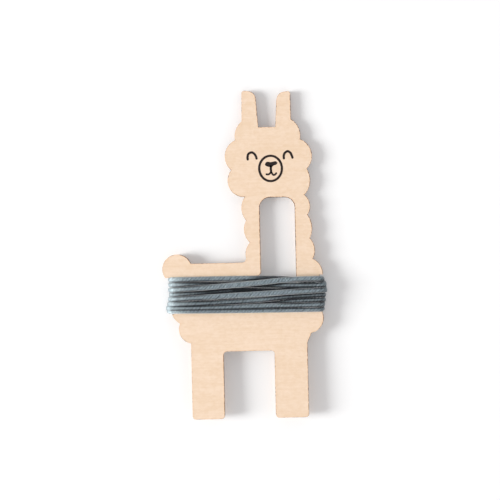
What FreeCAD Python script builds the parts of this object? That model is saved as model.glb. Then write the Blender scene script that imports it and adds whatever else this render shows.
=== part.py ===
import FreeCAD, Part

import math
import os

# A flat pom-pom maker, cut by laser from three-ply birch in the outline of a llama, with a length of
# yarn wound round its waist. Millimetres. The outline is drawn standing up: X runs from the middle of
# the waist towards the chest, Y from the soles of the feet towards the ears, and Z is the thickness.
# Each part of the outline is placed from its neighbour, so a changed size moves what follows it. At
# the end everything moves so that the origin is the middle of the bottom of the whole thing.

# Plywood
FACE_PLY = 0.8
CORE_PLY = 1.4

# Legs, and the slope of the thigh, given from the top of the right leg's outer side
LEG_INSET = 6.4
LEFT_LEG_WIDTH = 12.5
LEG_GAP_WIDTH = 19.8
RIGHT_LEG_WIDTH = 12.8
LEG_GAP_HEIGHT = 26.1
LEG_GAP_RADIUS = 1.4
FOOT_RADIUS = 1.3
THIGH_BOTTOM = (0.0, 2.8)
THIGH_TOP = (1.9, 7.0)

# Heights of the body, each from the one before: hips, waist with its two notches, back, neck, head
HIP_HEIGHT = 14.8
WAIST_HEIGHT = 14.2
BACK_HEIGHT = 5.3
NECK_HEIGHT = 31.8
HEAD_HEIGHT = 20.5

# Widths of the body. The columns stand between the waist's notches and its window.
WAIST_WIDTH = 56.8
WAIST_COLUMN = 9.0
WITHERS_RADIUS = 1.6
HEAD_REACH = 7.0
HEAD_WIDTH = 21.0

# Slot up the neck, the least wood beside it, and the tying window that it opens into under the yarn
SLOT_WIDTH = 13.7
SLOT_HEIGHT = 25.1
SLOT_TOP_RADIUS = 4.0
SLOT_LEFT_WALL = 2.4
SLOT_RIGHT_WALL = 3.4
WINDOW_SILL = 1.5
WINDOW_RADIUS = 1.6

# Fleece, drawn as curls along the edge: x, y and radius of each, from the corner that is named
TAIL_CURL = (1.6, 3.3, 5.7)  # top left of the waist
UPPER_RUMP_CURL = (5.6, 2.2, 6.7)  # bottom left of the waist
LOWER_RUMP_CURL = (7.3, -5.9, 5.5)
UPPER_CHEST_CURL = (-5.2, 0.3, 6.5)  # top right of the waist
LOWER_CHEST_CURL = (-4.7, -2.5, 5.9)  # bottom right of the waist
WITHERS_CURL = (0.75, 3.2, 6.6)  # left side of the slot, at the height of the back
LEFT_NECK_CURLS = ((0.75, 12.8, 7.0), (0.25, 21.1, 7.3))
RIGHT_NECK_CURLS = ((0.5, 4.2, 6.9), (-2.3, 12.9, 8.8), (0.2, 21.3, 5.7))  # right side of the slot
LEFT_HEAD_CURLS = ((1.15, 0.0, 6.3), (0.75, 9.4, 6.8), (5.25, 17.1, 7.3))  # left end of the jaw
RIGHT_HEAD_CURLS = ((-2.45, -0.3, 8.3), (-0.25, 9.0, 7.0), (-4.85, 17.1, 7.3))  # right end of the jaw

# Ears: x of the outer and the inner side at the base and at the tip, from the head's side, and height
LEFT_EAR = ((0.75, 7.25), (1.0, 6.25), 14.4)
RIGHT_EAR = ((-1.05, -7.15), (-1.15, -6.35), 13.9)
EAR_OUTER_RADIUS = 1.0
EAR_INNER_RADIUS = 3.2
EAR_SLOPE = 0.7

# Yarn. The turns lie as close as their gap allows, and the crossing turn rides over its neighbours.
YARN_DIAMETER = 1.5
YARN_SIDES = 8
YARN_CLEARANCE = 0.2
TURN_GAP = 0.02
LAYER_GAP = 0.1
CROSSING_TURN = 2
CROSSING_START = 0.5  # lanes down the right side
CROSSING_KNEES = ((0.8, 1.0), (0.9, 0.67))  # share of the way across, and share of its height there
BEND_CLEARANCES = 3.2  # of the 3.4 at which a bend's inside would meet the sharp edge of the plate
END_INSET = 1.0
START_RISE = 0.4
END_DROP = 1.2

Vector = FreeCAD.Vector

PLATE = 2 * FACE_PLY + CORE_PLY

WAIST_LEFT = -WAIST_WIDTH / 2
WAIST_RIGHT = WAIST_WIDTH / 2
LEFT_LEG_X = WAIST_LEFT + LEG_INSET
RIGHT_LEG_X = LEFT_LEG_X + LEFT_LEG_WIDTH + LEG_GAP_WIDTH
HIP_RIGHT = RIGHT_LEG_X + RIGHT_LEG_WIDTH
SLOT_RIGHT = WAIST_RIGHT - WAIST_COLUMN
SLOT_LEFT = SLOT_RIGHT - SLOT_WIDTH
HEAD_LEFT = SLOT_LEFT - HEAD_REACH
HEAD_RIGHT = HEAD_LEFT + HEAD_WIDTH

WAIST_Y = LEG_GAP_HEIGHT + HIP_HEIGHT
WAIST_TOP_Y = WAIST_Y + WAIST_HEIGHT
BACK_Y = WAIST_TOP_Y + BACK_HEIGHT
JAW_Y = BACK_Y + NECK_HEIGHT
EAR_GAP_Y = JAW_Y + HEAD_HEIGHT


def face_of(edges):
    """A flat face inside a closed run of edges, seen from the front."""
    wire = Part.Wire(edges)
    face = Part.Face(wire)
    if face.normalAt(0, 0).z < 0:
        wire.reverse()
        face = Part.Face(wire)
    return face


def disc(x, y, radius):
    return face_of([Part.Circle(Vector(x, y, 0), Vector(0, 0, 1), radius).toShape()])


def corner_arc(before, corner, after, radius):
    """Start, middle and end of the arc that rounds a corner, tangent to both of its sides."""
    back = (before - corner).normalize()
    ahead = (after - corner).normalize()
    half = back.getAngle(ahead) / 2
    inward = (back + ahead).normalize()
    reach = radius / math.tan(half)
    middle = corner + inward * (radius / math.sin(half) - radius)
    return corner + back * reach, middle, corner + ahead * reach


def polygon(corners):
    """A face with straight sides. A corner is x and y, and a radius where it is rounded."""
    points = [Vector(x, y, 0) for x, y, *_ in corners]
    edges = []
    stops = []
    for i, (point, (_, _, *radius)) in enumerate(zip(points, corners)):
        start = end = point
        if radius:
            following = points[(i + 1) % len(points)]
            start, middle, end = corner_arc(points[i - 1], point, following, *radius)
            edges.append(Part.Arc(start, middle, end).toShape())
        stops.append((start, end))
    for i, (start, _) in enumerate(stops):
        edges.append(Part.LineSegment(stops[i - 1][1], start).toShape())
    return face_of(Part.__sortEdges__(edges))


def block(left, bottom, right, top):
    return polygon([(left, bottom), (right, bottom), (right, top), (left, top)])


def curls(x, y, *sizes):
    """Discs of fleece, placed from a corner of the body."""
    return [disc(x + across, y + up, radius) for across, up, radius in sizes]


def cove(x, y, towards_x, towards_y, radius):
    """What fills an inner corner out to an arc. The open side is towards_x and towards_y, each 1 or -1."""
    far_x = x + towards_x * radius
    far_y = y + towards_y * radius
    square = polygon([(x, y), (far_x, y), (far_x, far_y), (x, far_y)])
    return square.cut(disc(far_x, far_y, radius)).Faces[0]


def withers():
    """What fills the corner between the back and the lowest curl of the neck, tangent to both."""
    across, up, curl_radius = WITHERS_CURL
    curl_x = SLOT_LEFT + across
    curl_y = BACK_Y + up
    arc_y = BACK_Y + WITHERS_RADIUS
    arc_x = curl_x - math.sqrt((curl_radius + WITHERS_RADIUS) ** 2 - (curl_y - arc_y) ** 2)
    corner = polygon([(arc_x, BACK_Y), (curl_x, BACK_Y), (curl_x, curl_y), (arc_x, arc_y)])
    return corner.cut(disc(arc_x, arc_y, WITHERS_RADIUS)).Faces[0]


def leg(x, width):
    """A leg with rounded corners at its foot."""
    corners = [
        (x, 0, FOOT_RADIUS),
        (x + width, 0, FOOT_RADIUS),
        (x + width, LEG_GAP_HEIGHT),
        (x, LEG_GAP_HEIGHT),
    ]
    return polygon(corners)


def hips():
    """The body between the legs and the waist, with the slope of the thigh on the right."""
    corners = [
        (LEFT_LEG_X, LEG_GAP_HEIGHT),
        (HIP_RIGHT, LEG_GAP_HEIGHT),
        (HIP_RIGHT + THIGH_BOTTOM[0], LEG_GAP_HEIGHT + THIGH_BOTTOM[1]),
        (HIP_RIGHT + THIGH_TOP[0], LEG_GAP_HEIGHT + THIGH_TOP[1]),
        (HIP_RIGHT + THIGH_TOP[0], WAIST_Y),
        (LEFT_LEG_X, WAIST_Y),
    ]
    return polygon(corners)


def ear(side_x, base, tip, height):
    """An ear that narrows upwards, with a tight outer corner and a wide, lower inner one."""
    tip_y = EAR_GAP_Y + height
    corners = [
        (side_x + base[0], EAR_GAP_Y),
        (side_x + base[1], EAR_GAP_Y),
        (side_x + tip[1], tip_y - EAR_SLOPE, EAR_INNER_RADIUS),
        (side_x + tip[0], tip_y, EAR_OUTER_RADIUS),
    ]
    return polygon(corners)


def ear_gap():
    """The space between the ears, which also takes off what the curls of the head leave there."""
    (_, left_base), (_, left_tip), left_height = LEFT_EAR
    (_, right_base), (_, right_tip), right_height = RIGHT_EAR
    corners = [
        (HEAD_LEFT + left_base, EAR_GAP_Y),
        (HEAD_RIGHT + right_base, EAR_GAP_Y),
        (HEAD_RIGHT + right_tip, EAR_GAP_Y + right_height - EAR_SLOPE),
        (HEAD_LEFT + left_tip, EAR_GAP_Y + left_height - EAR_SLOPE),
    ]
    return polygon(corners)


def silhouette():
    """The llama's outline, notched at the waist and between the ears, and still without its slot."""
    parts = [
        leg(LEFT_LEG_X, LEFT_LEG_WIDTH),
        leg(RIGHT_LEG_X, RIGHT_LEG_WIDTH),
        cove(LEFT_LEG_X + LEFT_LEG_WIDTH, LEG_GAP_HEIGHT, 1, -1, LEG_GAP_RADIUS),
        cove(RIGHT_LEG_X, LEG_GAP_HEIGHT, -1, -1, LEG_GAP_RADIUS),
        block(WAIST_LEFT, WAIST_Y, WAIST_RIGHT, WAIST_TOP_Y),
        block(WAIST_LEFT + TAIL_CURL[0], WAIST_TOP_Y, WAIST_RIGHT + UPPER_CHEST_CURL[0], BACK_Y),
        block(SLOT_LEFT - SLOT_LEFT_WALL, WAIST_TOP_Y, SLOT_RIGHT + SLOT_RIGHT_WALL, JAW_Y),
        block(HEAD_LEFT, JAW_Y, HEAD_RIGHT, EAR_GAP_Y),
        withers(),
        ear(HEAD_LEFT, *LEFT_EAR),
        ear(HEAD_RIGHT, *RIGHT_EAR),
    ]
    parts += curls(WAIST_LEFT, WAIST_TOP_Y, TAIL_CURL)
    parts += curls(WAIST_LEFT, WAIST_Y, UPPER_RUMP_CURL, LOWER_RUMP_CURL)
    parts += curls(WAIST_RIGHT, WAIST_TOP_Y, UPPER_CHEST_CURL)
    parts += curls(WAIST_RIGHT, WAIST_Y, LOWER_CHEST_CURL)
    parts += curls(SLOT_LEFT, BACK_Y, WITHERS_CURL, *LEFT_NECK_CURLS)
    parts += curls(SLOT_RIGHT, BACK_Y, *RIGHT_NECK_CURLS)
    parts += curls(HEAD_LEFT, JAW_Y, *LEFT_HEAD_CURLS)
    parts += curls(HEAD_RIGHT, JAW_Y, *RIGHT_HEAD_CURLS)
    left_notch = block(WAIST_LEFT - WAIST_WIDTH, WAIST_Y, WAIST_LEFT, WAIST_TOP_Y)
    right_notch = block(WAIST_RIGHT, WAIST_Y, WAIST_RIGHT + WAIST_WIDTH, WAIST_TOP_Y)
    (face,) = hips().fuse(parts).cut([ear_gap(), left_notch, right_notch]).removeSplitter().Faces
    return face


def slot():
    """The slot up the neck, and the window between the waist's columns that it opens into."""
    sill_y = WAIST_Y + WINDOW_SILL
    window_left = WAIST_LEFT + WAIST_COLUMN
    slot_top_y = BACK_Y + SLOT_HEIGHT
    corners = [
        (window_left, sill_y, WINDOW_RADIUS),
        (SLOT_RIGHT, sill_y, WINDOW_RADIUS),
        (SLOT_RIGHT, slot_top_y, SLOT_TOP_RADIUS),
        (SLOT_LEFT, slot_top_y, SLOT_TOP_RADIUS),
        (SLOT_LEFT, WAIST_TOP_Y, WINDOW_RADIUS),
        (window_left, WAIST_TOP_Y, WINDOW_RADIUS),
    ]
    return polygon(corners)


def outline():
    """The finished outline as one flat face."""
    (face,) = silhouette().cut(slot()).Faces
    return face


def plies():
    """The three veneers, each with its grain across the next, from the back to the front."""
    face = outline()
    solids = {}
    z = 0
    for name, thickness in (("back_veneer", FACE_PLY), ("core_veneer", CORE_PLY), ("front_veneer", FACE_PLY)):
        veneer = face.copy()
        veneer.translate(Vector(0, 0, z))
        solids[name] = veneer.extrude(Vector(0, 0, thickness))
        z += thickness
    return solids


def winding_route():
    """Corners of the yarn's middle line. Each turn goes up the right edge, across the front to the left,
    down the left edge and back behind the plate, one lane lower. One turn climbs over its neighbours. The
    start rises a little behind the right column, and the end drops a little behind the left one."""
    standoff = YARN_DIAMETER / 2 + YARN_CLEARANCE
    left = WAIST_LEFT - standoff
    right = WAIST_RIGHT + standoff
    behind = -standoff
    front = PLATE + standoff
    top = WAIST_TOP_Y - standoff
    band = WAIST_HEIGHT - 2 * standoff
    lanes = math.floor(band / (YARN_DIAMETER + TURN_GAP))
    lane = band / lanes
    front_lane = band / (lanes - 1)
    step = YARN_DIAMETER + LAYER_GAP
    end_length = standoff + WAIST_COLUMN - END_INSET

    route = [Vector(right - end_length, top + START_RISE, behind)]
    lanes_right = 0
    for turn in range(lanes + 1):
        y_left = top - lane * turn
        if turn == CROSSING_TURN:
            y_right = top - front_lane * CROSSING_START
            across = Vector(left - right - step, y_left - y_right, 0)
            over = Vector(right + step, y_right, front + step)
            route += [Vector(right + step, y_left, behind), over]
            for way, height in CROSSING_KNEES:
                route.append(over + across * way - Vector(0, 0, step * (1 - height)))
        else:
            route += [Vector(right, y_left, behind), Vector(right, top - front_lane * lanes_right, front)]
            lanes_right += 1
        route += [Vector(left, y_left, front), Vector(left, y_left, behind)]
    route.append(Vector(left + end_length, route[-1].y - END_DROP, behind))
    return route


def tube(route, diameter, radius):
    """A cord of a few flat sides along straight runs joined by tangent arcs. Prints its length and radius,
    and its volume over that of its section times its length."""
    edges = []
    start = route[0]
    for before, corner, after in zip(route, route[1:], route[2:]):
        arc_start, middle, arc_end = corner_arc(before, corner, after, radius)
        edges.append(Part.LineSegment(start, arc_start).toShape())
        edges.append(Part.Arc(arc_start, middle, arc_end).toShape())
        start = arc_end
    edges.append(Part.LineSegment(start, route[-1]).toShape())
    path = Part.Wire(edges)

    heading = (route[1] - route[0]).normalize()
    spoke = heading.cross(Vector(0, 0, 1)).normalize() * (diameter / 2)
    turns = [360 / YARN_SIDES * (side + 0.5) for side in range(YARN_SIDES)]
    rim = [route[0] + FreeCAD.Rotation(heading, turn).multVec(spoke) for turn in turns]
    section = Part.makePolygon(rim + rim[:1])
    cord = path.makePipeShell([section], True, False)
    swept = Part.Face(section).Area * path.Length
    print(f"yarn: length {path.Length:.1f}, bend radius {radius:.2f}, volume ratio {cord.Volume / swept:.4f}")
    return cord


def winding():
    """The yarn as one strand, bent round the edges of the plate."""
    bend = YARN_DIAMETER / 2 + BEND_CLEARANCES * YARN_CLEARANCE
    return tube(winding_route(), YARN_DIAMETER, bend)


def main():
    os.makedirs("parts", exist_ok=True)
    nodes = plies()
    nodes["yarn_winding"] = winding()
    box = Part.makeCompound(list(nodes.values())).optimalBoundingBox(False, False)
    to_origin = Vector(-box.Center.x, -box.Center.y, -box.ZMin)
    for name, solid in nodes.items():
        solid.translate(to_origin)
        solid.exportStep(f"parts/{name}.step")
        print(name, solid.ShapeType, solid.isValid(), f"{solid.Volume:.2f} mm3", solid.BoundBox)


main()
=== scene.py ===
"""Dresses the llama-shaped pom-pom maker: a laser-cut birch plate with wool yarn wound round its waist."""

import enum
import functools
import logging
import math
from collections.abc import Sequence
from dataclasses import dataclass, field

import bmesh
import bpy
import numpy as np
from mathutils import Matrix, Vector

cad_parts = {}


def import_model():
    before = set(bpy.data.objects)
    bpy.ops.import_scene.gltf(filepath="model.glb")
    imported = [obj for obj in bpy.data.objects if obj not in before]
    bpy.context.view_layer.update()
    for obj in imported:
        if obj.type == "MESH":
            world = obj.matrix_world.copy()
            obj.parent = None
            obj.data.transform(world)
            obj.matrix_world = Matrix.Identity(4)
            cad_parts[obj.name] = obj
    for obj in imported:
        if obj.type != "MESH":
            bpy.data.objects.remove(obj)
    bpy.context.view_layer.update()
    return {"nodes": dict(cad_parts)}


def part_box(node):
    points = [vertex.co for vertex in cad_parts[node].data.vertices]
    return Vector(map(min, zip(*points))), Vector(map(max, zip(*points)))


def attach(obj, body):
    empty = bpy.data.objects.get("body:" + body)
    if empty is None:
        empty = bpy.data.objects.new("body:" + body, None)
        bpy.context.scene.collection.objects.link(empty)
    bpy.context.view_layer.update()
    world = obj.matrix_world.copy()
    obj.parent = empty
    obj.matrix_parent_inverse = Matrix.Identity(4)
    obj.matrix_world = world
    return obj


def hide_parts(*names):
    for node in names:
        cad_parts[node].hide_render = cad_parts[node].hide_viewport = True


MM = 0.001
FULL_TURN = 2 * math.pi
LOG = logging.getLogger("pompom_maker")
COLOUR, VALUE, VECTOR = "NodeSocketColor", "NodeSocketFloat", "NodeSocketVector"
Colour = tuple[float, float, float, float]
Span = tuple[float, float]
Stroke = tuple[tuple[float, float], ...]
Socket = bpy.types.NodeSocket
WHITE: Colour = (1.0, 1.0, 1.0, 1.0)


def display(red: int, green: int, blue: int) -> Colour:
    """The linear colour of 8-bit display values.

    Args:
        red: Red, 0 to 255.
        green: Green, 0 to 255.
        blue: Blue, 0 to 255.

    Returns:
        Linear red, green and blue, and an alpha of 1.
    """
    shares = [value / 255 for value in (red, green, blue)]
    linear = [s / 12.92 if s <= 0.04045 else ((s + 0.055) / 1.055) ** 2.4 for s in shares]
    return (*linear, 1.0)


class Piece(enum.Enum):
    """The plywood's solids and the yarn's, as the model names them."""

    FRONT = "front_veneer"
    CORE = "core_veneer"
    BACK = "back_veneer"
    YARN = "yarn_winding"


class Slot(enum.Enum):
    """The material slots that the added pieces take their finishes from."""

    FRONT = "birch_front"
    BACK = "birch_back"
    YARN = "yarn"


# Shader building


@dataclass(frozen=True)
class Lumps:
    """A noise field: its lumps per unit along each axis, its octaves, and how far the lumps swirl."""

    rates: tuple[float, float, float]
    octaves: float = 2.0
    swirl: float = 0.0


class Graph:
    """Adds and joins the nodes of one shader tree."""

    def __init__(self, tree: bpy.types.NodeTree) -> None:
        """Works on one tree."""
        self.tree = tree

    def node(self, kind: str, inputs: dict | None = None, **settings: object) -> bpy.types.Node:
        """Adds a node.

        Args:
            kind: The node's type, without its ShaderNode prefix.
            inputs: What each input holds: a value, or the socket that feeds it.
            settings: The node's own properties.

        Returns:
            The new node.
        """
        made = self.tree.nodes.new("ShaderNode" + kind)
        for name, value in settings.items():
            setattr(made, name, value)
        for name, value in (inputs or {}).items():
            if isinstance(value, Socket):
                self.tree.links.new(value, made.inputs[name])
            else:
                made.inputs[name].default_value = value
        return made

    def place(self) -> Socket:
        """The place in the object's own frame."""
        return self.node("TexCoord").outputs["Object"]

    def attribute(self, name: str) -> Socket:
        """A value that the mesh carries."""
        return self.node("Attribute", attribute_name=name).outputs["Fac"]

    def noise(self, place: Socket, lumps: Lumps) -> Socket:
        """The value of a noise field, which is 0.5 on average.

        Args:
            place: Where the noise is read.
            lumps: The field.

        Returns:
            The value socket.
        """
        spread = self.node("Mapping", {"Vector": place, "Scale": lumps.rates}).outputs["Vector"]
        inputs = {"Vector": spread, "Scale": 1.0, "Detail": lumps.octaves, "Distortion": lumps.swirl}
        return self.node("TexNoise", inputs).outputs["Fac"]

    def remap(self, value: Socket, low: float, high: float, bottom: float = 0.0, top: float = 1.0) -> Socket:
        """A value carried from one range to another, and kept inside it.

        Args:
            value: The value to carry.
            low: The start of its range.
            high: The end of its range.
            bottom: What low becomes.
            top: What high becomes.

        Returns:
            The carried value.
        """
        inputs = {"Value": value, "From Min": low, "From Max": high, "To Min": bottom, "To Max": top}
        return self.node("MapRange", inputs, interpolation_type="SMOOTHSTEP").outputs["Result"]

    def math(self, operation: str, first: Socket | float, second: Socket | float = 0.0) -> Socket:
        """One sum on two values."""
        return self.node("Math", {0: first, 1: second}, operation=operation).outputs["Value"]

    def weighted(self, *terms: tuple[Socket, float]) -> Socket:
        """The sum of some values, each times its weight."""
        parts = [self.math("MULTIPLY", value, weight) for value, weight in terms]
        return functools.reduce(lambda total, part: self.math("ADD", total, part), parts)

    def mix(self, share: Socket | float, first: Socket | Colour, second: Socket | Colour) -> Socket:
        """The colour that lies a share of the way from one colour to another."""
        inputs = {0: share, 6: first, 7: second}
        return self.node("Mix", inputs, data_type="RGBA", clamp_factor=True).outputs[2]

    def shown(self) -> Socket:
        """1 where the lens, gloss or clear glass shows a surface, and 0 where it lights others.

        Returns:
            The value socket.
        """
        rays = self.node("LightPath").outputs
        direct = self.math("MAXIMUM", rays["Is Camera Ray"], rays["Is Glossy Ray"])
        return self.math("MAXIMUM", direct, rays["Is Transmission Ray"])


@dataclass(frozen=True)
class Touch:
    """How rough and glossy a surface is, and how deep and strong its relief is.

    The roughness follows the relief, or another guide, over the range given.
    """

    rough: Span
    gloss: float
    depth: float
    strength: float
    over: Span = (0.3, 0.7)

    def shader(
        self,
        graph: Graph,
        colour: Socket,
        height: Socket,
        guide: Socket | None = None,
        more: dict | None = None,
    ) -> Socket:
        """Adds the surface's shader to a material's own tree.

        Args:
            graph: The material's tree.
            colour: The base colour.
            height: The relief.
            guide: What the roughness follows, if it isn't the relief.
            more: Other inputs that are the same all over.

        Returns:
            The shader.
        """
        relief = {"Height": height, "Strength": self.strength, "Distance": self.depth}
        inputs = {
            "Base Color": colour,
            "Roughness": graph.remap(height if guide is None else guide, *self.over, *self.rough),
            "Normal": graph.node("Bump", relief).outputs["Normal"],
            "Specular IOR Level": self.gloss,
        }
        return graph.node("BsdfPrincipled", inputs | (more or {})).outputs["BSDF"]


class SharedEffect:
    """A shader node group that several finishes place with their own values."""

    title = ""
    takes: dict[str, str] = {}
    gives: dict[str, str] = {}

    def group(self) -> bpy.types.NodeTree:
        """Builds the node group the first time it is asked for.

        Returns:
            The group.
        """
        tree = bpy.data.node_groups.get(self.title)
        if tree is None:
            tree = bpy.data.node_groups.new(self.title, "ShaderNodeTree")
            for way, sockets in (("INPUT", self.takes), ("OUTPUT", self.gives)):
                for name, kind in sockets.items():
                    tree.interface.new_socket(name, in_out=way, socket_type=kind)
            source = tree.nodes.new("NodeGroupInput")
            target = tree.nodes.new("NodeGroupOutput")
            for name, socket in self.build(Graph(tree), source.outputs).items():
                tree.links.new(socket, target.inputs[name])
        return tree

    def place(self, graph: Graph, **values: object) -> bpy.types.NodeOutputs:
        """The outputs of the group, placed in a material with that material's values."""
        return graph.node("Group", values, node_tree=self.group()).outputs

    def build(self, graph: Graph, source: bpy.types.NodeOutputs) -> dict[str, Socket]:
        """The group's own nodes: what feeds each of its outputs."""
        raise NotImplementedError


class BirchGrain(SharedEffect):
    """Rotary-cut birch: faint bands, mottling, fine fibre lines and short dark flecks, along the grain."""

    title = "Birch grain"
    takes = {"Vector": VECTOR, "Angle": VALUE, "Pale": COLOUR, "Deep": COLOUR, "Fleck": COLOUR}
    gives = {"Colour": COLOUR, "Height": VALUE}
    bands = Lumps((190, 26, 60), 2.0, 1.1)
    mottle = Lumps((900, 560, 300), 3.0, 0.5)
    fibres = Lumps((1900, 95, 600), 4.0, 0.4)
    flecks = Lumps((3900, 420, 900), 1.0)
    tone_shares = (0.3, 0.45, 0.25)
    toned = (0.3, 0.7)
    flecked = (0.7, 0.8)
    fleck_share = 0.22
    fleck_depth = 0.6

    def build(self, graph: Graph, source: bpy.types.NodeOutputs) -> dict[str, Socket]:
        """Mixes the bands, mottling, fibres and flecks.

        Args:
            graph: The group's tree.
            source: The group's inputs.

        Returns:
            What feeds each output.
        """
        turned = {"Vector": source["Vector"], "Angle": source["Angle"]}
        along = graph.node("VectorRotate", turned, rotation_type="Z_AXIS").outputs["Vector"]
        tones = [graph.noise(along, lumps) for lumps in (self.bands, self.mottle, self.fibres)]
        flecks = graph.remap(graph.noise(along, self.flecks), *self.flecked)
        tone = graph.weighted(*zip(tones, self.tone_shares))
        wood = graph.mix(graph.remap(tone, *self.toned), source["Pale"], source["Deep"])
        wood = graph.mix(graph.weighted((flecks, self.fleck_share)), wood, source["Fleck"])
        return {"Colour": wood, "Height": graph.weighted((tones[-1], 1.0), (flecks, -self.fleck_depth))}


class LaserEdge(SharedEffect):
    """The brown, streaked wall that a laser leaves down the side of a cut."""

    title = "Laser edge"
    takes = {"Vector": VECTOR, "Toast": COLOUR, "Char": COLOUR}
    gives = {"Colour": COLOUR, "Mask": VALUE}
    streaks = Lumps((1500, 1500, 130), 3.0)
    patches = Lumps((160, 160, 160))
    steepness = (0.35, 0.75)
    shares = (0.6, 0.5)
    burnt = (0.35, 0.75)

    def build(self, graph: Graph, source: bpy.types.NodeOutputs) -> dict[str, Socket]:
        """Streaks that run down the wall, and a mask of the faces that stand upright.

        Args:
            graph: The group's tree.
            source: The group's inputs.

        Returns:
            What feeds each output.
        """
        normal = graph.node("NewGeometry").outputs["True Normal"]
        level = graph.math("ABSOLUTE", graph.node("SeparateXYZ", {"Vector": normal}).outputs["Z"])
        fields = [graph.noise(source["Vector"], lumps) for lumps in (self.streaks, self.patches)]
        burn = graph.remap(graph.weighted(*zip(fields, self.shares)), *self.burnt)
        wall = graph.mix(burn, source["Toast"], source["Char"])
        return {"Colour": wall, "Mask": graph.remap(level, *self.steepness, 1.0, 0.0)}


class WoolFibre(SharedEffect):
    """Spun wool: fine fibres that lie at a slant along a ply, in several blended shades."""

    title = "Wool fibre"
    takes = {"Along": VECTOR, "ValleyShade": VALUE} | dict.fromkeys(("Shade", "Body", "Light", "CreviceShade"), COLOUR)
    gives = {"Colour": COLOUR, "Height": VALUE}
    fibres = Lumps((13.0, 1.6, 1.0), 4.0, 0.4)
    tufts = Lumps((3.0, 0.55, 1.0), 2.0, 0.2)
    slant = 0.5
    filled = (0.3, 0.52)
    lit = (0.54, 0.74)
    tufted = (0.3, 0.7)
    tuft_light = (0.35, 0.9)
    # Where and how darkly shade is painted in the grooves between plies.
    groove_shade = (-0.1, 0.85)
    groove_dark = 0.62

    def build(self, graph: Graph, source: bpy.types.NodeOutputs) -> dict[str, Socket]:
        """Blends the shades along the fibres, and paints shade into the grooves between plies and between
        turns.

        Args:
            graph: The group's tree.
            source: The group's inputs.

        Returns:
            What feeds each output.
        """
        round_ply, along, ply = graph.node("SeparateXYZ", {"Vector": source["Along"]}).outputs
        slanted = {"X": graph.weighted((round_ply, 1.0), (along, self.slant)), "Y": along, "Z": ply}
        lie = graph.node("CombineXYZ", slanted).outputs["Vector"]
        fibres, tufts = (graph.noise(lie, lumps) for lumps in (self.fibres, self.tufts))
        wool = graph.mix(graph.remap(fibres, *self.filled), source["Shade"], source["Body"])
        tufted = graph.remap(tufts, *self.tufted, *self.tuft_light)
        light = graph.math("MULTIPLY", graph.remap(fibres, *self.lit), tufted)
        wool = graph.mix(light, wool, source["Light"])
        # Painted shade in the grooves between plies, darkest on each ply's side towards the yarn's middle.
        outward = graph.math("COSINE", graph.weighted((round_ply, FULL_TURN)))
        groove_shade = graph.remap(outward, *self.groove_shade, self.groove_dark, 0.0)
        wool = graph.mix(groove_shade, wool, source["CreviceShade"])
        # Painted shade between the turns, by the valley mask.
        return {"Colour": graph.mix(source["ValleyShade"], wool, source["CreviceShade"]), "Height": fibres}


# Finishes


@dataclass(frozen=True)
class Finish:
    """A material that is built once and found again by its name."""

    title: str

    def material(self) -> bpy.types.Material:
        """Builds the material the first time it is asked for.

        Returns:
            The material.
        """
        made = bpy.data.materials.get(self.title)
        if made is None:
            made = bpy.data.materials.new(self.title)
            made.use_nodes = True
            made.node_tree.nodes.clear()
            graph = Graph(made.node_tree)
            graph.node("OutputMaterial", {"Surface": self.surface(graph)})
        return made

    def surface(self, graph: Graph) -> Socket:
        """The shader that the material shows."""
        raise NotImplementedError

    def dress(self, thing: bpy.types.Object) -> None:
        """Gives an object this finish alone.

        Args:
            thing: The object.
        """
        if not thing.data.materials:
            thing.data.materials.append(self.material())
        for slot in thing.material_slots:
            slot.material = self.material()


@dataclass(frozen=True)
class Birch(Finish):
    """Bare birch veneer with laser-burnt sides."""

    angle: float = math.pi / 2
    pale: Colour = display(254, 229, 205)
    deep: Colour = display(244, 215, 184)
    fleck: Colour = display(205, 160, 122)
    toast: Colour = display(176, 122, 78)
    char: Colour = display(74, 45, 28)
    touch: Touch = Touch((0.84, 0.76), gloss=0.14, depth=0.03 * MM, strength=0.25)

    def grain(self, graph: Graph) -> bpy.types.NodeOutputs:
        """The outputs of the veneer's grain, placed in a material."""
        colours = {"Pale": self.pale, "Deep": self.deep, "Fleck": self.fleck}
        return BirchGrain().place(graph, Vector=graph.place(), Angle=self.angle, **colours)

    def surface(self, graph: Graph) -> Socket:
        """Puts veneer on the flat faces and burnt wood on the walls.

        Args:
            graph: The material's tree.

        Returns:
            The shader.
        """
        grain = self.grain(graph)
        edge = LaserEdge().place(graph, Vector=graph.place(), Toast=self.toast, Char=self.char)
        wood = graph.mix(edge["Mask"], grain["Colour"], edge["Colour"])
        return self.touch.shader(graph, wood, grain["Height"])


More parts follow.
